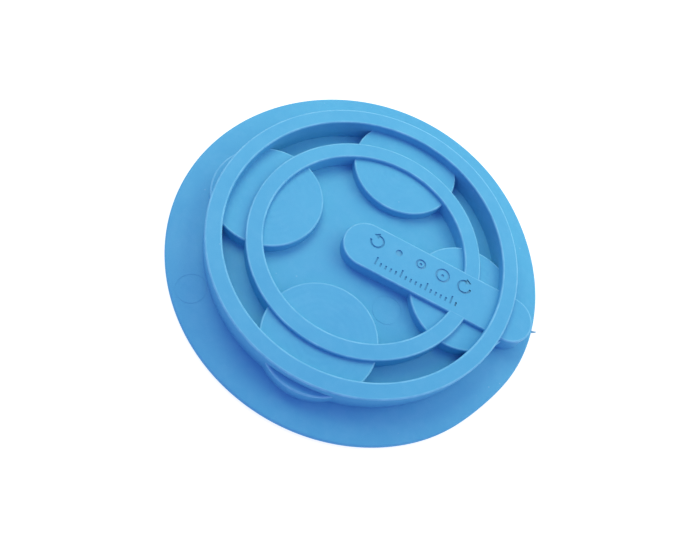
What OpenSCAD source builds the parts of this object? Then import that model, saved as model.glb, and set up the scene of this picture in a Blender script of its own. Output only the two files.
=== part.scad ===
// Friction disc for turning screw-down watch case backs by hand.
// It is one soft moulding: a thin tacky disc, flat underneath and gently domed on top, with
// four round grip pads, a marking bar and two grip rings standing on it.
// The frame has its origin at the centre of the flat underside, +Z up and +X along the bar.
// The raised parts are separate solids that meet face to face. Each one is cut by those
// before it, in this order: disc, grip pads, marking bar, inner ring, outer ring.

/* [Disc] */
// Diameter of the disc across its rim
disc_d = 70; // [60:0.5:90]
// Thickness of the disc at its rim
rim_t = 0.8; // [0.6:0.05:1.4]
// Rise of the disc's top from its rim to its centre
dome_rise = 1.75; // [1:0.05:2.2]

/* [Rings] */
// Width of the bare flange outside the outer ring
flange_w = 6.4; // [4:0.1:9]
// Wall of the outer ring
outer_wall = 2.95; // [2:0.05:4.5]
// Gap between the two rings
ring_gap = 4; // [3:0.1:6]
// Wall of the inner ring
inner_wall = 3.05; // [2:0.05:4.5]
// Step up from the inner ring's top to the outer ring's top
outer_step = 1.05; // [0.6:0.05:2]
// Step up from the grip pads' tops to the inner ring's top, which the bar shares
inner_step = 0.85; // [0.6:0.05:2]

/* [Grip pads] */
// Height of the grip pads' tops above the disc's rim
pad_h = 3.5; // [2.8:0.1:5]
// How far each grip pad steps out past the outer ring
pad_step = 1.4; // [0.8:0.1:3]
// Gap between neighbouring grip pads
pad_gap = 7.7; // [5:0.5:12]

/* [Marking bar] */
// Width of the marking bar, whose inner end is round about the disc's centre
bar_w = 8.9; // [7.6:0.1:12]
// Bare rim left outside the bar's outer end
bar_rim_gap = 1.8; // [1.2:0.1:5]

/* [Marks] */
// Height of the large marks sunk in the bar
mark_h = 2.8; // [2:0.1:3.2]
// Height of the scale's long ticks
tick_h = 1.6; // [1:0.1:2]
// Gap between the row of marks and the scale below it
row_gap = 1.4; // [0.6:0.1:1.6]
// Width of a mark's stroke
stroke_w = 0.4; // [0.2:0.05:0.5]
// Depth of the marks
mark_depth = 0.2; // [0.1:0.05:0.4]

/* [Gate stub] */
// Length of the stub that the mould's gate leaves proud of the rim
stub_l = 0.9; // [0.3:0.1:2]
// Width of the stub
stub_w = 0.5; // [0.3:0.05:1]
// Angle round the rim from the bar to the stub
stub_angle = 4; // [0:1:20]

/* [Edges] */
// Radius along the top edges
edge_r = 0.25; // [0.1:0.05:0.4]

/* [Hidden] */
$fn = 128;
moulding = [0.33, 0.67, 0.87];
e = 0.01;                                     // a cutter's overrun past the face it cuts

disc_r = disc_d / 2;
rim_round = rim_t / 2;                        // the rim is a half round
rim_centre_r = disc_r - rim_round;
meet_angle = 30;                              // the dome cuts the half round this far from its top
dome_edge_r = rim_centre_r + rim_round * sin(meet_angle);
dome_top = rim_t + dome_rise;
dome_drop = dome_top - rim_round * (1 + cos(meet_angle));
dome_r = (pow(dome_edge_r, 2) + pow(dome_drop, 2)) / (2 * dome_drop);
dome_steps = 16;                              // so flat an arc needs few chords

pad_top = rim_t + pad_h;
inner_top = pad_top + inner_step;
outer_top = inner_top + outer_step;

outer_r = disc_r - flange_w;
inner_r = outer_r - outer_wall - ring_gap;

pad_count = 4;
pad_reach = outer_r + pad_step;               // a pad's furthest point from the centre
half_pitch_sin = sin(180 / pad_count);
pad_r = (pad_reach * half_pitch_sin - pad_gap / 2) / (1 + half_pitch_sin);
pad_circle_r = pad_reach - pad_r;

bar_l = disc_r - bar_rim_gap - bar_w / 2;     // between the centres of the bar's round ends

mark_margin = 1.2;                            // plain bar between the marks and the ring's outside
mark_end = inner_r - mark_margin;
mark_sizes = [1.5, 0.8, 0];                   // how much smaller each case-back mark is
mark_pitch = (mark_end - mark_h) / (len(mark_sizes) + 1);
rows_h = mark_h + row_gap + tick_h;
mark_y = (rows_h - mark_h) / 2;
tick_base_y = -rows_h / 2;
tick_start = 2.6;
tick_pitch = 1;
tick_w = 0.3;
short_tick_h = tick_h / 2;
tick_group = 5;                               // every fifth tick is a long one
tick_count = floor((mark_end - mark_margin - tick_start) / tick_pitch);

stub_h = 0.35;
stub_root = 0.6;                              // how far the stub's root runs into the rim

// Half section of a round boss or bar end with its top edge rounded
module edge_section(r, h) {
    square([r, h - edge_r]);
    square([r - edge_r, h]);
    translate([r - edge_r, h - edge_r]) circle(edge_r);
}

// Cross-section of a straight or curved rib, from the left of its foot
module rib_section(w, h) {
    translate([w / 2, 0]) {
        edge_section(w / 2, h);
        mirror([1, 0]) edge_section(w / 2, h);
    }
}

// A rib bent round the disc's axis, with its foot at the rim's top face
module grip_ring(r, wall, top) {
    translate([0, 0, rim_t])
        rotate_extrude() translate([r - wall, 0]) rib_section(wall, top - rim_t);
}

// Height of the disc's top at a distance from its axis
function dome_z(r) = dome_top - dome_r + sqrt(pow(dome_r, 2) - pow(r, 2));

module disc_body() {
    chord = (disc_r + e) / dome_steps;
    rotate_extrude() intersection() {
        polygon(concat(
            [[0, -e], [disc_r + e, -e]],
            [for (i = [dome_steps : -1 : 0]) [i * chord, dome_z(i * chord)]]
        ));
        union() {
            square([rim_centre_r, dome_top + e]);
            translate([rim_centre_r, rim_round]) circle(rim_round);
        }
    }
}

module pad_blank(i) {
    rotate([0, 0, i * 360 / pad_count]) translate([pad_circle_r, 0, rim_t])
        rotate_extrude() edge_section(pad_r, pad_h);
}

module bar_blank() {
    bar_h = inner_top - rim_t;
    translate([0, 0, rim_t]) {
        translate([0, -bar_w / 2, 0]) rotate([90, 0, 90]) linear_extrude(bar_l)
            rib_section(bar_w, bar_h);
        rotate([0, 0, 90]) rotate_extrude(angle = 180) edge_section(bar_w / 2, bar_h);
        translate([bar_l, 0, 0]) rotate([0, 0, -90]) rotate_extrude(angle = 180)
            edge_section(bar_w / 2, bar_h);
    }
}

// A circle drawn with one stroke
module ring_mark(d) {
    difference() {
        circle(d = d);
        circle(d = d - 2 * stroke_w);
    }
}

// A watch's case back: its outline and a dot at its centre
module case_mark(d) {
    ring_mark(d);
    circle(d = stroke_w * 1.4);
}

// Three quarters of a turn, ending in an arrowhead that points the way to turn
module turn_mark(d) {
    head = stroke_w * 1.7;
    mid_r = (d - stroke_w) / 2;
    difference() {
        ring_mark(d);
        square(d);
    }
    translate([0, mid_r]) polygon([[0, head], [0, -head], [head * 1.6, 0]]);
}

module marks() {
    translate([mark_h / 2, mark_y]) {
        mirror([1, 0]) turn_mark(mark_h);
        for (i = [0 : len(mark_sizes) - 1])
            translate([(i + 1) * mark_pitch, 0]) case_mark(mark_h - mark_sizes[i]);
        translate([(len(mark_sizes) + 1) * mark_pitch, 0]) turn_mark(mark_h);
    }
    for (i = [0 : tick_count])
        translate([tick_start + i * tick_pitch, tick_base_y])
            square([tick_w, i % tick_group == 0 ? tick_h : short_tick_h]);
}

module friction_disc() {
    color(moulding) disc_body();
}

module grip_pad(i) {
    color(moulding) difference() {
        pad_blank(i);
        disc_body();
    }
}

module marking_bar() {
    color(moulding) difference() {
        bar_blank();
        disc_body();
        pad_blank(0);
        translate([0, 0, inner_top - mark_depth]) linear_extrude(mark_depth + e) marks();
    }
}

// Takes away everything that a ring stands on or runs into
module seat_ring() {
    difference() {
        children();
        disc_body();
        for (i = [0 : pad_count - 1]) pad_blank(i);
        bar_blank();
    }
}

module inner_ring() {
    color(moulding) seat_ring() grip_ring(inner_r, inner_wall, inner_top);
}

module outer_ring() {
    color(moulding) seat_ring() grip_ring(outer_r, outer_wall, outer_top);
}

module gate_stub() {
    color(moulding) difference() {
        rotate([0, 0, stub_angle])
            translate([disc_r - stub_root, -stub_w / 2, (rim_t - stub_h) / 2])
                cube([stub_root + stub_l, stub_w, stub_h]);
        disc_body();
    }
}

friction_disc();
grip_pad(0);  // grip_pad_1
grip_pad(1);  // grip_pad_2
grip_pad(2);  // grip_pad_3
grip_pad(3);  // grip_pad_4
marking_bar();
inner_ring();
outer_ring();
gate_stub();
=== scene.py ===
"""Friction disc for watch case backs: one soft blue moulding, shown on a pale bench.

The disc, its grip pads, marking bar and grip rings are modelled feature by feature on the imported
frame. Lengths are in metres and bearings are in degrees from +X.
"""
import math

import bmesh
import bpy
from mathutils import Matrix, Vector


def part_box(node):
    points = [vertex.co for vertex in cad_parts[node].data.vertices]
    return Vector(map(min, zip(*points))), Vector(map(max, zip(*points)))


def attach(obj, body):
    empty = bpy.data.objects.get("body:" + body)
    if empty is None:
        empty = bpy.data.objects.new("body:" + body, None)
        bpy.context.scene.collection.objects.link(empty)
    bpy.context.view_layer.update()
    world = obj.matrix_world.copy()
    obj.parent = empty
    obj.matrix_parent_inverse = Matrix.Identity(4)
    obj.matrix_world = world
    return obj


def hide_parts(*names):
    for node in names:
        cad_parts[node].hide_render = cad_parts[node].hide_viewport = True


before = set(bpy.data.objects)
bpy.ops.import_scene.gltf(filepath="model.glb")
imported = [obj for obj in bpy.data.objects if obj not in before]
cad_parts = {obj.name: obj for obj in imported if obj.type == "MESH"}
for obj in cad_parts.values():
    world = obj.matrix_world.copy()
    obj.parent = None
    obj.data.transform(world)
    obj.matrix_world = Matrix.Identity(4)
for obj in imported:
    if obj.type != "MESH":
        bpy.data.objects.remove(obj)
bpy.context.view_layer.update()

MM = 0.001


# --- Main sizes, from the frame where it gives them --------------------------------------------

disc_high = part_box("friction_disc")[1]
pad_low, pad_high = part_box("grip_pad_1")
bar_low, bar_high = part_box("marking_bar")
inner_low, inner_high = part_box("inner_ring")
outer_low, outer_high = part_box("outer_ring")
stub_low, stub_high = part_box("gate_stub")

DISC_R = disc_high.y
RIM_T = 0.8 * MM
DOME_RISE = disc_high.z - RIM_T

OUTER_R = outer_high.y
OUTER_TOP = outer_high.z
OUTER_WALL = 2.95 * MM
INNER_R = inner_high.y
INNER_TOP = inner_high.z
INNER_WALL = 3.05 * MM

PAD_COUNT = 4
PAD_R = (pad_high.y - pad_low.y) / 2
PAD_CIRCLE_R = (pad_high.x + pad_low.x) / 2    # from the disc's axis to each pad's
PAD_TOP = pad_high.z

BAR_HALF_W = bar_high.y
BAR_L = bar_high.x - BAR_HALF_W                # between the centres of the bar's round ends
BAR_ABOVE_RING = 0.004 * MM                    # a hair, so the bar and the ring it crosses don't flicker
BAR_TOP = bar_high.z + BAR_ABOVE_RING


# --- How everything is shaped -----------------------------------------------------------------

EDGE_R = 0.25 * MM                             # radius along every top edge
EDGE_STEPS = 4
SUPPORT = 0.12 * MM                            # plain strip beside a rounded edge
SINK = 0.3 * MM                                # how far a foot runs into what it stands on
ROUND_STEPS = 288                              # segments of the disc and the rings
PAD_STEPS = 160
BAR_STEPS = 128
MARK_STEPS = 72                                # segments of a small ring
DOT_STEPS = 32
SHARP_ANGLE = math.radians(35)                 # a steeper edge is shaded as a crease

SAME = 1e-7                                    # points closer than this are one
LEVEL = 1e-6                                   # heights closer than this are one level
WALL_NORMAL = 0.5                              # a wall's normal rises less than this
FLAT_NORMAL = 0.999                            # a flat top's normal rises more than this


# --- Mesh helpers -----------------------------------------------------------------------------

def new_bmesh():
    """An empty bmesh whose vertices carry how much each lies on a rounded lip."""
    bm = bmesh.new()
    bm.verts.layers.float.new("lip")
    return bm


def only_verts(geometry):
    """The vertices in a list of mixed geometry."""
    return [v for v in geometry if isinstance(v, bmesh.types.BMVert)]


def add_circle(bm, radius, centre=(0, 0, 0), segments=ROUND_STEPS, filled=True, turn=0.0):
    """A flat round outline, filled or not. It returns its vertices."""
    place = Matrix.Translation(centre) @ Matrix.Rotation(turn, 4, "Z")
    made = bmesh.ops.create_circle(bm, cap_ends=filled, radius=radius, segments=segments, matrix=place)
    return made["verts"]


def add_annulus(bm, outer, inner, centre=(0, 0, 0), segments=ROUND_STEPS):
    """A flat ring of quads between two circles. It returns its faces."""
    rims = []
    for radius in (outer, inner):
        verts = add_circle(bm, radius, centre, segments, filled=False)
        rims += [e for e in bm.edges if e.verts[0] in verts and e.verts[1] in verts]
    return bmesh.ops.bridge_loops(bm, edges=rims)["faces"]


def raise_faces(bm, faces, height):
    """Extrudes flat faces upwards into a closed solid. It returns the solid's vertices."""
    foot = list({v for f in faces for v in f.verts})
    top = only_verts(bmesh.ops.extrude_face_region(bm, geom=faces)["geom"])
    bmesh.ops.translate(bm, vec=(0, 0, height), verts=top)
    bmesh.ops.recalc_face_normals(bm, faces=bm.faces[:])
    return foot + top


def round_top_edges(bm, top):
    """Rounds the edges round every face at the top, and leaves a plain strip on both sides of each."""
    lip = bm.verts.layers.float["lip"]
    bm.normal_update()
    level = [e for e in bm.edges if all(abs(v.co.z - top) < SAME for v in e.verts)]
    edges = [e for e in level if any(abs(f.normal.z) < WALL_NORMAL for f in e.link_faces)]
    made = bmesh.ops.bevel(bm, geom=edges, offset=EDGE_R, offset_type="OFFSET", segments=EDGE_STEPS,
                           profile=0.5, affect="EDGES", material=-1)
    for v in made["verts"]:
        v[lip] = 1.0
    bm.normal_update()
    flat = [f for f in bm.faces
            if f.normal.z > FLAT_NORMAL and abs(f.calc_center_median().z - top) < LEVEL]
    bmesh.ops.inset_region(bm, faces=flat, thickness=SUPPORT, use_boundary=True, use_even_offset=True)
    cut = bmesh.ops.bisect_plane(bm, geom=bm.verts[:] + bm.edges[:] + bm.faces[:], dist=SAME,
                                 plane_co=(0, 0, top - EDGE_R - SUPPORT), plane_no=(0, 0, 1))
    for v in only_verts(cut["geom_cut"]) + [v for f in flat for v in f.verts]:
        v[lip] = 0.0


def to_object(name, bm, closed=True):
    """Turns a bmesh into an object whose place is in its mesh. A closed one's faces turn outward."""
    if closed:
        bmesh.ops.remove_doubles(bm, verts=bm.verts[:], dist=SAME)
        bmesh.ops.recalc_face_normals(bm, faces=bm.faces[:])
    mesh = bpy.data.meshes.new(name)
    bm.to_mesh(mesh)
    bm.free()
    piece = bpy.data.objects.new(name, mesh)
    bpy.context.scene.collection.objects.link(piece)
    return piece


def cut_away(piece, cutter):
    """Takes the cutter's solids out of the piece, and removes the cutter."""
    knife = piece.modifiers.new("cut", "BOOLEAN")
    knife.operation = "DIFFERENCE"
    knife.solver = "EXACT"
    knife.use_self = True
    knife.object = cutter
    bpy.context.view_layer.update()
    seen = piece.evaluated_get(bpy.context.evaluated_depsgraph_get())
    result = bpy.data.meshes.new_from_object(seen)
    piece.modifiers.clear()
    old = piece.data
    piece.data = result
    result.name = piece.name
    bpy.data.meshes.remove(old)
    bpy.data.objects.remove(cutter)


def mark_sunk(piece, floor):
    """Marks the vertices on the floor of what was cut into a piece's top, where the material paints shade.
    """
    sunk = piece.data.attributes.new("sunk", "FLOAT", "POINT")
    for vertex, value in zip(piece.data.vertices, sunk.data):
        value.value = float(abs(vertex.co.z - floor) < LEVEL)


def finish_piece(piece, material, *nodes):
    """Shades a piece, gives it its material and ties it to the frame."""
    piece.data.materials.clear()
    piece.data.materials.append(material)
    piece.data.shade_smooth()
    piece.data.set_sharp_from_angle(angle=SHARP_ANGLE)
    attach(piece, "root")
    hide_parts(*nodes)


# --- The disc ---------------------------------------------------------------------------------

RIM_ROUND = RIM_T * 0.48                       # radius along the rim's two edges
RIM_ROUND_STEPS = 6
PROFILE_CUTS = 35                              # in the disc's top and underside, from axis to rim
RIM_PULLS = ((36, 20, 0.22 * MM), (-27, 14, 0.50 * MM))   # bearing, spread and depth of each dip in the rim
RIM_LIFTS = ((92, 42, 0.75 * MM),)             # bearing, spread and height where the rim curls up

PIN_MARKS = ((223, 31.4 * MM), (314, 12.0 * MM))   # bearing and distance out of each ejector pin's mark
PIN_R = 2.8 * MM
PIN_GROOVE = 0.30 * MM
PIN_DEPTH = 0.05 * MM
PIN_CUTTER_H = 0.5 * MM


def dome_z(radius):
    """Height of the disc's top at a distance from its axis."""
    return RIM_T + DOME_RISE * (1 - (radius / DISC_R) ** 2)


def along_rim(bearing, swells):
    """What a few smooth swells along the soft rim add up to at a bearing."""
    return sum(depth * math.exp(-((bearing - at) / spread) ** 2) for at, spread, depth in swells)


def bend_rim(bm):
    """Draws the flange in and curls it up here and there, more so towards its edge."""
    for v in bm.verts:
        radius = math.hypot(v.co.x, v.co.y)
        out = (radius - OUTER_R) / (DISC_R - OUTER_R)
        if out > 0:
            bearing = math.degrees(math.atan2(v.co.y, v.co.x))
            drawn = 1 - along_rim(bearing, RIM_PULLS) * out * out * (3 - 2 * out) / radius
            v.co.x *= drawn
            v.co.y *= drawn
            v.co.z += along_rim(bearing, RIM_LIFTS) * out * out


def shape_pin_marks():
    """Cutting solids for the shallow round grooves that the mould's ejector pins leave."""
    bm = new_bmesh()
    for bearing, out in PIN_MARKS:
        angle = math.radians(bearing)
        slope = math.atan(2 * DOME_RISE * out / DISC_R ** 2)
        lean = Matrix.Rotation(angle, 4, "Z") @ Matrix.Rotation(slope, 4, "Y")
        floor = dome_z(out) - PIN_DEPTH
        place = Matrix.Translation((out * math.cos(angle), out * math.sin(angle), floor))
        groove = add_annulus(bm, PIN_R, PIN_R - PIN_GROOVE, segments=MARK_STEPS)
        solid = raise_faces(bm, groove, PIN_CUTTER_H)
        bmesh.ops.transform(bm, matrix=place @ lean, verts=solid)
    return to_object("pin_marks", bm)


def shape_disc():
    """The domed disc, spun from half of its section."""
    bm = new_bmesh()
    section = ((0, 0, 0), (DISC_R, 0, 0), (DISC_R, 0, RIM_T), (0, 0, RIM_T))
    corners = [bm.verts.new(c) for c in section]
    for pair in zip(corners, corners[1:]):
        bm.edges.new(pair)
    bmesh.ops.bevel(bm, geom=corners[1:3], offset=RIM_ROUND, offset_type="OFFSET",
                    segments=RIM_ROUND_STEPS, profile=0.5, affect="VERTICES", material=-1)
    long_edges = [e for e in bm.edges if e.calc_length() > DISC_R / 2]
    bmesh.ops.subdivide_edges(bm, edges=long_edges, cuts=PROFILE_CUTS)
    for v in bm.verts:
        v.co.z = v.co.z / RIM_T * dome_z(v.co.x)
    bmesh.ops.spin(bm, geom=bm.verts[:] + bm.edges[:], cent=(0, 0, 0), axis=(0, 0, 1), dvec=(0, 0, 0),
                   angle=math.tau, steps=ROUND_STEPS, use_merge=True)
    bend_rim(bm)
    disc = to_object("friction_disc_moulding", bm)
    cut_away(disc, shape_pin_marks())
    return disc


# --- The raised parts -------------------------------------------------------------------------

STUB_SIZE = Vector((1.5, 0.5, 0.35)) * MM
STUB_OUT = 0.9 * MM                            # how far the stub stands out from the rim
STUB_TAPER = (1, 0.4, 0.45)                    # size of its tip as shares of its root
STUB_CUTS = 3
STUB_BEND = 0.42 * MM                          # how far its tip bends to the side
STUB_CURL = 0.05 * MM                          # and upwards
STUB_EDGE_R = 0.03 * MM
STUB_EDGE_STEPS = 2
STUB_DARKENING = 2.0                               # darkened twice as much as the floors of the sunk marks


def shape_pad(index):
    """A round grip pad. Its vertices carry where they are from its own centre."""
    bm = new_bmesh()
    angle = index * math.tau / PAD_COUNT
    foot = pad_low.z - SINK
    centre = Vector((PAD_CIRCLE_R * math.cos(angle), PAD_CIRCLE_R * math.sin(angle), foot))
    add_circle(bm, PAD_R, centre, PAD_STEPS)
    raise_faces(bm, bm.faces[:], PAD_TOP - foot)
    round_top_edges(bm, PAD_TOP)
    centred = bm.verts.layers.float_vector.new("centred")
    for v in bm.verts:
        v[centred] = (v.co.x - centre.x, v.co.y - centre.y, 0.0)
    return to_object(f"grip_pad_moulding_{index + 1}", bm)


def shape_ring(name, radius, wall, low, top):
    """A grip ring with a flat top."""
    bm = new_bmesh()
    foot = low - SINK
    add_annulus(bm, radius, radius - wall, (0, 0, foot))
    raise_faces(bm, bm.faces[:], top - foot)
    round_top_edges(bm, top)
    return to_object(name, bm)


def shape_bar():
    """The marking bar: a circle about the disc's centre, half of which is moved out."""
    bm = new_bmesh()
    half_step = math.pi / BAR_STEPS
    foot = bar_low.z - SINK
    radius = BAR_HALF_W / math.cos(half_step)
    verts = add_circle(bm, radius, (0, 0, foot), BAR_STEPS, turn=half_step)
    bmesh.ops.translate(bm, vec=(BAR_L, 0, 0), verts=[v for v in verts if v.co.x > 0])
    raise_faces(bm, bm.faces[:], BAR_TOP - foot)
    round_top_edges(bm, BAR_TOP)
    return to_object("marking_bar_moulding", bm)


def shape_stub():
    """The thin bent whisker that the mould's gate leaves on the rim."""
    bm = new_bmesh()
    bmesh.ops.create_cube(bm, size=1.0, matrix=Matrix.Diagonal((*STUB_SIZE, 1)))
    bmesh.ops.scale(bm, vec=STUB_TAPER, verts=[v for v in bm.verts if v.co.x > 0])
    lengthwise = [e for e in bm.edges if abs(e.verts[0].co.x - e.verts[1].co.x) > STUB_SIZE.x / 2]
    bmesh.ops.subdivide_edges(bm, edges=lengthwise, cuts=STUB_CUTS)
    for v in bm.verts:
        along = v.co.x / STUB_SIZE.x + 0.5
        v.co.y += STUB_BEND * along * along
        v.co.z += STUB_CURL * along * along
    bmesh.ops.bevel(bm, geom=bm.edges[:], offset=STUB_EDGE_R, offset_type="OFFSET",
                    segments=STUB_EDGE_STEPS, profile=0.5, affect="EDGES", material=-1,
                    clamp_overlap=True)
    angle = math.atan2((stub_low.y + stub_high.y) / 2, (stub_low.x + stub_high.x) / 2)
    place = Matrix.Translation((DISC_R + STUB_OUT - STUB_SIZE.x / 2, 0, RIM_T / 2))
    bmesh.ops.transform(bm, matrix=Matrix.Rotation(angle, 4, "Z") @ place, verts=bm.verts[:])
    stub = to_object("gate_stub_moulding", bm)
    for value in stub.data.attributes.new("sunk", "FLOAT", "POINT").data:
        value.value = STUB_DARKENING
    return stub


# --- The marks sunk in the bar ----------------------------------------------------------------

MARK_H = 2.8 * MM
TICK_H = 1.6 * MM
ROW_GAP = 1.4 * MM
ROWS_H = MARK_H + ROW_GAP + TICK_H             # the row of marks with the scale below it
MARK_Y = (ROWS_H - MARK_H) / 2                 # the middle of the row of marks
STROKE_W = 0.4 * MM
CASE_SIZES = (1.3 * MM, 2.0 * MM, 2.8 * MM)    # across each case-back mark
DOT_R = STROKE_W * 0.7
MARK_END = INNER_R - 1.2 * MM                  # where the row ends, short of the inner ring's outside
MARK_PITCH = (MARK_END - MARK_H) / (len(CASE_SIZES) + 1)
ARROW_HEAD = STROKE_W * 1.7
ARROW_REACH = ARROW_HEAD * 0.52                # from the middle of a turn arrow to its head's
TICK_W = 0.3 * MM
TICK_PITCH = 1.0 * MM
TICK_START = 2.6 * MM
TICK_END = MARK_END - 1.2 * MM
TICKS_PER_LONG = 5
MARK_FLOOR = BAR_TOP - 0.2 * MM
RING_MARK_FLOOR = MARK_FLOOR - 0.03 * MM       # a hair below the bar's, so the two floors don't flicker
MARK_CUTTER_TOP = BAR_TOP + 0.1 * MM


def add_stroke_ring(bm, x, diameter, floor):
    """A ring one stroke wide in the row of marks. It returns its faces."""
    return add_annulus(bm, diameter / 2, diameter / 2 - STROKE_W, (x, MARK_Y, floor), MARK_STEPS)


def add_turn_arrow(bm, x, way, floor):
    """A ring that is open at its upper left (way -1) or upper right (1), with an arrow head there."""
    ring = [(f, f.calc_center_median()) for f in add_stroke_ring(bm, x, MARK_H, floor)]
    gap = [f for f, middle in ring if (middle.x - x) * way > 0 and middle.y > MARK_Y]
    bmesh.ops.delete(bm, geom=gap, context="FACES")
    head = (x + way * ARROW_REACH, MARK_Y + (MARK_H - STROKE_W) / 2, floor)
    add_circle(bm, ARROW_HEAD, head, segments=3, turn=-way * math.pi / 2)


def add_case_mark(bm, x, diameter, floor):
    """A ring with a dot in it, or a plain disc where there is no room for a dot."""
    if diameter / 2 - STROKE_W > DOT_R:
        add_stroke_ring(bm, x, diameter, floor)
        add_circle(bm, DOT_R, (x, MARK_Y, floor), DOT_STEPS)
    else:
        add_circle(bm, diameter / 2, (x, MARK_Y, floor), MARK_STEPS)


def add_scale(bm, floor):
    """A row of ticks one millimetre apart, every fifth a long one, standing on one line."""
    for i in range(int((TICK_END - TICK_START) / TICK_PITCH) + 1):
        height = TICK_H / 2 if i % TICKS_PER_LONG else TICK_H
        middle = (TICK_START + i * TICK_PITCH + TICK_W / 2, (height - ROWS_H) / 2, floor)
        bmesh.ops.create_grid(bm, x_segments=1, y_segments=1, size=0.5,
                              matrix=Matrix.Translation(middle) @ Matrix.Diagonal((TICK_W, height, 1, 1)))


def shape_marks(floor):
    """The sunk marks as cutting solids: two turn arrows, three case backs and a millimetre scale."""
    bm = new_bmesh()
    first = MARK_H / 2
    add_turn_arrow(bm, first, -1, floor)
    add_turn_arrow(bm, first + (len(CASE_SIZES) + 1) * MARK_PITCH, 1, floor)
    for i, diameter in enumerate(CASE_SIZES):
        add_case_mark(bm, first + (i + 1) * MARK_PITCH, diameter, floor)
    add_scale(bm, floor)
    raise_faces(bm, bm.faces[:], MARK_CUTTER_TOP - floor)
    return to_object("marks", bm)


# --- Shader helpers ---------------------------------------------------------------------------

MIX_FIRST = 6                                  # which sockets of a mix node carry colours
MIX_SECOND = 7
MIX_RESULT = 2


def add_node(tree, kind, **values):
    """A node of a kind, with its sockets or its own settings set by name."""
    node = tree.nodes.new(kind)
    for name, value in values.items():
        socket = node.inputs.get(name.replace("_", " "))
        if socket is None or hasattr(node, name):
            setattr(node, name, value)
        else:
            socket.default_value = value
    return node


def calc(tree, kind, first, second=0.0):
    """A math node of a kind on two sockets or numbers. It returns its output."""
    node = add_node(tree, "ShaderNodeMath", operation=kind)
    for socket, value in zip(node.inputs, (first, second)):
        if isinstance(value, (int, float)):
            socket.default_value = value
        else:
            tree.links.new(value, socket)
    return node.outputs[0]


def spread(tree, value, band, onto=(0.0, 1.0)):
    """Stretches a band of a value onto another, with soft ends."""
    node = add_node(tree, "ShaderNodeMapRange", interpolation_type="SMOOTHSTEP",
                    From_Min=band[0], From_Max=band[1], To_Min=onto[0], To_Max=onto[1])
    tree.links.new(value, node.inputs["Value"])
    return node.outputs["Result"]


def mixed(tree, amount, first, second):
    """Two colours mixed by an amount. Each is a socket or a colour."""
    node = tree.nodes.new("ShaderNodeMix")
    node.data_type = "RGBA"
    tree.links.new(amount, node.inputs["Factor"])
    for socket, colour in ((node.inputs[MIX_FIRST], first), (node.inputs[MIX_SECOND], second)):
        if isinstance(colour, tuple):
            socket.default_value = (*colour, 1)
        else:
            tree.links.new(colour, socket)
    return node.outputs[MIX_RESULT]


def noise(tree, at, size, detail=2.0, roughness=0.5):
    """Noise whose blobs are about a size across."""
    node = add_node(tree, "ShaderNodeTexNoise", Scale=1 / size, Detail=detail, Roughness=roughness)
    tree.links.new(at, node.inputs["Vector"])
    return node.outputs["Fac"]


def new_group(name, numbers_in, numbers_out, colours_out=()):
    """A shader node group with named inputs and outputs."""
    group = bpy.data.node_groups.new(name, "ShaderNodeTree")
    for label in numbers_in:
        group.interface.new_socket(label, in_out="INPUT", socket_type="NodeSocketFloat")
    for label in colours_out:
        group.interface.new_socket(label, in_out="OUTPUT", socket_type="NodeSocketColor")
    for label in numbers_out:
        group.interface.new_socket(label, in_out="OUTPUT", socket_type="NodeSocketFloat")
    return group, group.nodes.new("NodeGroupInput"), group.nodes.new("NodeGroupOutput")


# --- Materials --------------------------------------------------------------------------------

BLUE = (0.090, 0.435, 0.665)                   # the pigment
PALE = (0.215, 0.590, 0.790)                   # lighter tone, for pale patches in the pigment and for the painted highlight along the rounded top edges
DEEP = (0.070, 0.355, 0.605)                   # where the pigment lies thick
MARK_SHADE_AND_STUB_TONE = (0.040, 0.230, 0.430)                  # painted shade on the floors of the sunk marks, and the darker tone of the gate stub
DUST = (0.380, 0.640, 0.780)

CLOUD_SIZE = 9.0 * MM                          # blobs of thick and thin pigment
PATCH_SIZE = 2.2 * MM
GRAIN_SIZE = 0.16 * MM                         # the grain of the mould
EDGE_VARIATION_SIZE = 3.1 * MM                           # stretches where the painted edge highlight and the edge polish are stronger and weaker
SPECK_PITCH = 1.7 * MM
SPECK_EDGE = (0.11, 0.05)                      # a speck's outside and inside, as shares of its pitch

CLOUD_BAND = (0.35, 0.65)                      # the band of each noise over which its effect grows
PATCH_BAND = (0.40, 0.72)
GRAIN_BAND = (0.30, 0.75)
EDGE_VARIATION_BAND = (0.30, 0.70)
ROUGH_BAND = (0.30, 0.70)

CLOUD_SHOWS = 0.22                             # the most that each of these changes the colour
PATCH_SHOWS = 0.10
GRAIN_SHOWS = 0.20
SPECK_SHOWS = 0.35
EDGE_HIGHLIGHT_SHOWS = 0.8
MARK_SHADE_AND_STUB_SHOWS = 0.4
EDGE_VARIATION_RANGE = (0.35, 1.0)                             # how much of its painted highlight and polish an edge shows

ROUGHNESS = (0.50, 0.60)
GRAIN_ROUGHNESS = (-0.04, 0.06)
SPECK_ROUGHNESS = 0.2
EDGE_POLISH = 0.12

RELIEF = 0.02 * MM                             # what a height of 1 stands for
GRAIN_HEIGHT = 0.30
PATCH_HEIGHT = 0.9
CLOUD_HEIGHT = 1.2
SPECK_HEIGHT = 0.25

TURNED_PITCH = 1.15 * MM                       # between the rings that turning left on a pad
TURNED_HEIGHT = 0.45
WOBBLE = 1.2 * MM                              # how far the rings stray from round
WOBBLE_SIZE = 6.0 * MM
FADE_SIZE = 7.5 * MM                           # stretches where the rings show and where they don't
FADE_BAND = (0.35, 0.65)

INDEX_OF_REFRACTION = 1.41
SHEEN = 0.42


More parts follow.
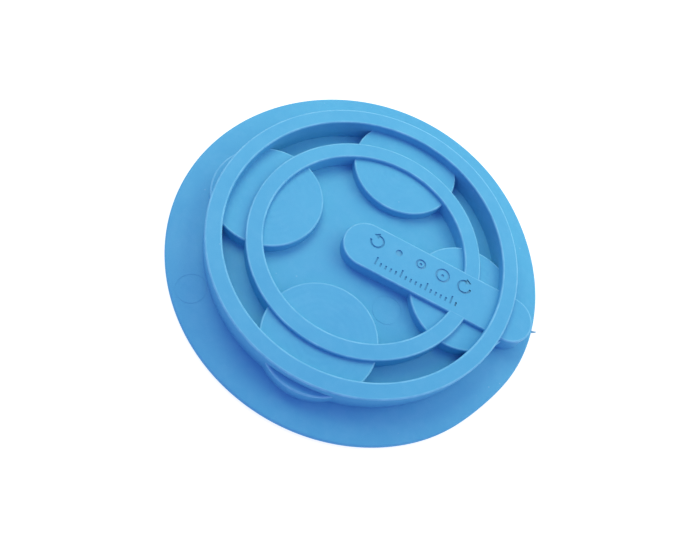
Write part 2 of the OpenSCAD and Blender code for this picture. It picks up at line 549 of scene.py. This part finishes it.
def dust_specks(tree, at, share):
    """Small round specks in a share of the cells. It returns how much of one lies at a point."""
    cells = add_node(tree, "ShaderNodeTexVoronoi", Scale=1 / SPECK_PITCH)
    tree.links.new(at, cells.inputs["Vector"])
    chance = tree.nodes.new("ShaderNodeSeparateColor")
    tree.links.new(cells.outputs["Color"], chance.inputs["Color"])
    chosen = calc(tree, "LESS_THAN", chance.outputs["Red"], share)
    return calc(tree, "MULTIPLY", spread(tree, cells.outputs["Distance"], SPECK_EDGE), chosen)


def skin_and_light_group():
    """The moulded surface of soft rubber: cloudy pigment, fine grain, dust, a painted highlight along the
    top edges and painted shade in the sunk marks.
    """
    group, given, made = new_group("moulded_skin_and_painted_light", ("Lip", "Sunk", "Dust", "Sheen Loss"),
                                   ("Roughness", "Height"), ("Colour",))
    at = group.nodes.new("ShaderNodeTexCoord").outputs["Object"]
    cloud = noise(group, at, CLOUD_SIZE, detail=3.0, roughness=0.55)
    patch = noise(group, at, PATCH_SIZE)
    grain = noise(group, at, GRAIN_SIZE, roughness=0.6)
    edge_variation = noise(group, at, EDGE_VARIATION_SIZE, detail=3.0, roughness=0.6)
    dusty = dust_specks(group, at, given.outputs["Dust"])
    edge = calc(group, "MULTIPLY", given.outputs["Lip"], spread(group, edge_variation, EDGE_VARIATION_BAND, EDGE_VARIATION_RANGE))

    colour = mixed(group, spread(group, cloud, CLOUD_BAND, (0.0, CLOUD_SHOWS)), BLUE, DEEP)
    colour = mixed(group, spread(group, patch, PATCH_BAND, (0.0, PATCH_SHOWS)), colour, PALE)
    colour = mixed(group, spread(group, grain, GRAIN_BAND, (0.0, GRAIN_SHOWS)), colour, DEEP)
    # Dust specks, then a painted highlight along the rounded top edges, then painted shade on the floors of
    # the sunk marks, which also darkens the gate stub.
    for amount, shows, tint in ((dusty, SPECK_SHOWS, DUST), (edge, EDGE_HIGHLIGHT_SHOWS, PALE),
                                (given.outputs["Sunk"], MARK_SHADE_AND_STUB_SHOWS, MARK_SHADE_AND_STUB_TONE)):
        colour = mixed(group, calc(group, "MULTIPLY", amount, shows), colour, tint)
    group.links.new(colour, made.inputs["Colour"])

    rough = spread(group, cloud, ROUGH_BAND, ROUGHNESS)
    rough = calc(group, "ADD", rough, spread(group, grain, ROUGH_BAND, GRAIN_ROUGHNESS))
    rough = calc(group, "SUBTRACT", rough, calc(group, "MULTIPLY", edge, EDGE_POLISH))
    rough = calc(group, "ADD", rough, calc(group, "MULTIPLY", dusty, SPECK_ROUGHNESS))
    rough = calc(group, "ADD", rough, given.outputs["Sheen Loss"])
    group.links.new(rough, made.inputs["Roughness"])

    height = calc(group, "MULTIPLY", grain, GRAIN_HEIGHT)
    for amount, rise in ((patch, PATCH_HEIGHT), (cloud, CLOUD_HEIGHT), (dusty, SPECK_HEIGHT)):
        height = calc(group, "ADD", height, calc(group, "MULTIPLY", amount, rise))
    group.links.new(height, made.inputs["Height"])
    return group


def turned_group():
    """Rings that a turned mould leaves on a round pad, about the pad's own centre."""
    group, given, made = new_group("turned_rings", ("Strength",), ("Height",))
    at = add_node(group, "ShaderNodeAttribute", attribute_name="centred").outputs["Vector"]
    radius = add_node(group, "ShaderNodeVectorMath", operation="LENGTH")
    group.links.new(at, radius.inputs[0])
    wobble = calc(group, "MULTIPLY", noise(group, at, WOBBLE_SIZE), WOBBLE)
    out = calc(group, "ADD", radius.outputs["Value"], wobble)
    wave = calc(group, "SINE", calc(group, "MULTIPLY", out, math.tau / TURNED_PITCH))
    fades = spread(group, noise(group, at, FADE_SIZE), FADE_BAND)
    height = calc(group, "MULTIPLY", calc(group, "MULTIPLY", wave, fades), given.outputs["Strength"])
    group.links.new(height, made.inputs["Height"])
    return group


def elastomer(name, skin_and_light, dust=0.06, matt=0.0, rings=None):
    """Soft blue rubber with its moulded surface, painted edge highlight and painted shade in the sunk
    marks, and with turned rings where it is given their group.
    """
    mat = bpy.data.materials.new(name)
    mat.use_nodes = True
    tree = mat.node_tree
    bsdf = tree.nodes["Principled BSDF"]
    bsdf.inputs["IOR"].default_value = INDEX_OF_REFRACTION
    bsdf.inputs["Specular IOR Level"].default_value = SHEEN
    surface = add_node(tree, "ShaderNodeGroup", node_tree=skin_and_light)
    surface.inputs["Dust"].default_value = dust
    surface.inputs["Sheen Loss"].default_value = matt
    for label in ("Lip", "Sunk"):
        carried = add_node(tree, "ShaderNodeAttribute", attribute_name=label.lower())
        tree.links.new(carried.outputs["Fac"], surface.inputs[label])
    height = surface.outputs["Height"]
    if rings:
        turned = add_node(tree, "ShaderNodeGroup", node_tree=rings)
        turned.inputs["Strength"].default_value = TURNED_HEIGHT
        height = calc(tree, "ADD", height, turned.outputs["Height"])
    bump = add_node(tree, "ShaderNodeBump", Strength=1.0, Distance=RELIEF)
    tree.links.new(height, bump.inputs["Height"])
    tree.links.new(surface.outputs["Colour"], bsdf.inputs["Base Color"])
    tree.links.new(surface.outputs["Roughness"], bsdf.inputs["Roughness"])
    tree.links.new(bump.outputs["Normal"], bsdf.inputs["Normal"])
    return mat


# --- Stage ------------------------------------------------------------------------------------

LAMPS = (                                      # bearing, height and power of each
    (20, 28, 0.127),
    (45, 52, 0.122),
    (90, 28, 0.106),
    (138, 52, 0.255),
)
LAMP_FAR = 0.24
LAMP_WIDE = 0.16
LAMP_COLOUR = (0.86, 1.0, 0.63)
FILL_COLOUR = (0.40, 0.345, 0.75)
WALL_COLOUR = (0.95, 0.95, 0.95)

BENCH_HALF = 1.5
BENCH_STEPS = 30
BENCH_LEVEL = -0.1 * MM                        # a hair under the disc, so the two don't flicker
BENCH_COLOUR = (0.42, 0.42, 0.42)
BENCH_GLOW = 0.80
BENCH_ROUGHNESS = 0.9
BENCH_SHEEN = 0.1

CAMERA_AZIMUTH = -2.8                          # round from -Y, towards +X
CAMERA_ELEVATION = 61.58
CAMERA_ROLL = 29.98
CAMERA_AIM = Vector((-0.24, -5.96, 3.0)) * MM
CAMERA_FAR = 125.23 * MM
CAMERA_LENS = 36.35
CAMERA_SENSOR = 36
CAMERA_NEAREST = 0.01


def direction(bearing, height):
    """The unit vector at a bearing, and at a height above the bench in degrees."""
    turn, lift = math.radians(bearing), math.radians(height)
    return Vector((math.cos(turn) * math.cos(lift), math.sin(turn) * math.cos(lift), math.sin(lift)))


def put_in_scene(data, place, facing):
    """An object for a lamp or a camera, at a place and with a rotation."""
    holder = bpy.data.objects.new(data.name, data)
    holder.location = place
    holder.rotation_mode = "QUATERNION"
    holder.rotation_quaternion = facing
    bpy.context.scene.collection.objects.link(holder)
    return holder


def add_soft_lamp(bearing, height, power):
    """A round soft box that faces the middle of the bench."""
    lamp = bpy.data.lights.new(f"soft_lamp_{bearing}_{height}", "AREA")
    lamp.shape = "DISK"
    lamp.size = LAMP_WIDE
    lamp.energy = power
    lamp.color = LAMP_COLOUR
    towards = direction(bearing, height)
    put_in_scene(lamp, towards * LAMP_FAR, (-towards).to_track_quat("-Z", "Y"))


def bench_paint():
    """White paint that lifts the shadows, and that lets a camera below the bench see through it."""
    paint = bpy.data.materials.new("white_bench")
    paint.use_nodes = True
    nodes, links = paint.node_tree.nodes, paint.node_tree.links
    white = nodes["Principled BSDF"]
    white.inputs["Base Color"].default_value = (*BENCH_COLOUR, 1)
    white.inputs["Roughness"].default_value = BENCH_ROUGHNESS
    white.inputs["Specular IOR Level"].default_value = BENCH_SHEEN
    white.inputs["Emission Color"].default_value = (1, 1, 1, 1)
    white.inputs["Emission Strength"].default_value = BENCH_GLOW
    side = nodes.new("ShaderNodeNewGeometry")
    clear = nodes.new("ShaderNodeBsdfTransparent")
    one_way = nodes.new("ShaderNodeMixShader")
    links.new(side.outputs["Backfacing"], one_way.inputs["Fac"])
    links.new(white.outputs["BSDF"], one_way.inputs[1])
    links.new(clear.outputs["BSDF"], one_way.inputs[2])
    links.new(one_way.outputs["Shader"], nodes["Material Output"].inputs["Surface"])
    return paint


def set_bench():
    """A flat white bench."""
    bm = bmesh.new()
    bmesh.ops.create_grid(bm, x_segments=BENCH_STEPS, y_segments=BENCH_STEPS, size=BENCH_HALF,
                          matrix=Matrix.Translation((0, 0, BENCH_LEVEL)))
    bench = to_object("bench", bm, closed=False)
    bench.data.materials.append(bench_paint())


def set_surround():
    """A cool fill from all round, which the camera sees as a pale wall."""
    world = bpy.data.worlds.new("studio")
    bpy.context.scene.world = world
    world.use_nodes = True
    tree = world.node_tree
    tree.nodes.clear()
    fill = add_node(tree, "ShaderNodeBackground", Color=(*FILL_COLOUR, 1))
    wall = add_node(tree, "ShaderNodeBackground", Color=(*WALL_COLOUR, 1))
    path = tree.nodes.new("ShaderNodeLightPath")
    seen = tree.nodes.new("ShaderNodeMixShader")
    out = tree.nodes.new("ShaderNodeOutputWorld")
    tree.links.new(path.outputs["Is Camera Ray"], seen.inputs["Fac"])
    tree.links.new(fill.outputs["Background"], seen.inputs[1])
    tree.links.new(wall.outputs["Background"], seen.inputs[2])
    tree.links.new(seen.outputs["Shader"], out.inputs["Surface"])


def set_camera():
    """Looks down on the disc from the -Y side, rolled so that the bar points down to the right."""
    camera = bpy.data.cameras.new("camera")
    camera.sensor_width = CAMERA_SENSOR
    camera.lens = CAMERA_LENS
    camera.clip_start = CAMERA_NEAREST
    back = direction(CAMERA_AZIMUTH - 90, CAMERA_ELEVATION)
    roll = Matrix.Rotation(math.radians(CAMERA_ROLL), 3, "Z").to_quaternion()
    facing = (-back).to_track_quat("-Z", "Y") @ roll
    bpy.context.scene.camera = put_in_scene(camera, CAMERA_AIM + back * CAMERA_FAR, facing)


# --- Putting it together ----------------------------------------------------------------------

def build_pieces():
    """Shapes every piece and gives it its rubber."""
    skin_and_light = skin_and_light_group()
    raised = elastomer("blue_rubber_raised", skin_and_light)
    pad = elastomer("blue_rubber_pad", skin_and_light, dust=0.08, matt=0.03, rings=turned_group())
    flat = elastomer("blue_rubber_disc", skin_and_light, dust=0.10, matt=0.02)

    finish_piece(shape_disc(), flat, "friction_disc")
    for index in range(PAD_COUNT):
        finish_piece(shape_pad(index), pad, f"grip_pad_{index + 1}")
    bar = shape_bar()
    inner_ring = shape_ring("inner_ring_moulding", INNER_R, INNER_WALL, inner_low.z, INNER_TOP)
    for marked, floor in ((bar, MARK_FLOOR), (inner_ring, RING_MARK_FLOOR)):
        cut_away(marked, shape_marks(floor))
        # The floors of the cut marks carry painted shade in the material.
        mark_sunk(marked, floor)
    finish_piece(bar, raised, "marking_bar")
    finish_piece(inner_ring, raised, "inner_ring")
    outer_ring = shape_ring("outer_ring_moulding", OUTER_R, OUTER_WALL, outer_low.z, OUTER_TOP)
    finish_piece(outer_ring, raised, "outer_ring")
    finish_piece(shape_stub(), raised, "gate_stub")


build_pieces()
bpy.context.scene.view_settings.view_transform = "Standard"
set_bench()
set_surround()
for lamp_values in LAMPS:
    add_soft_lamp(*lamp_values)
set_camera()
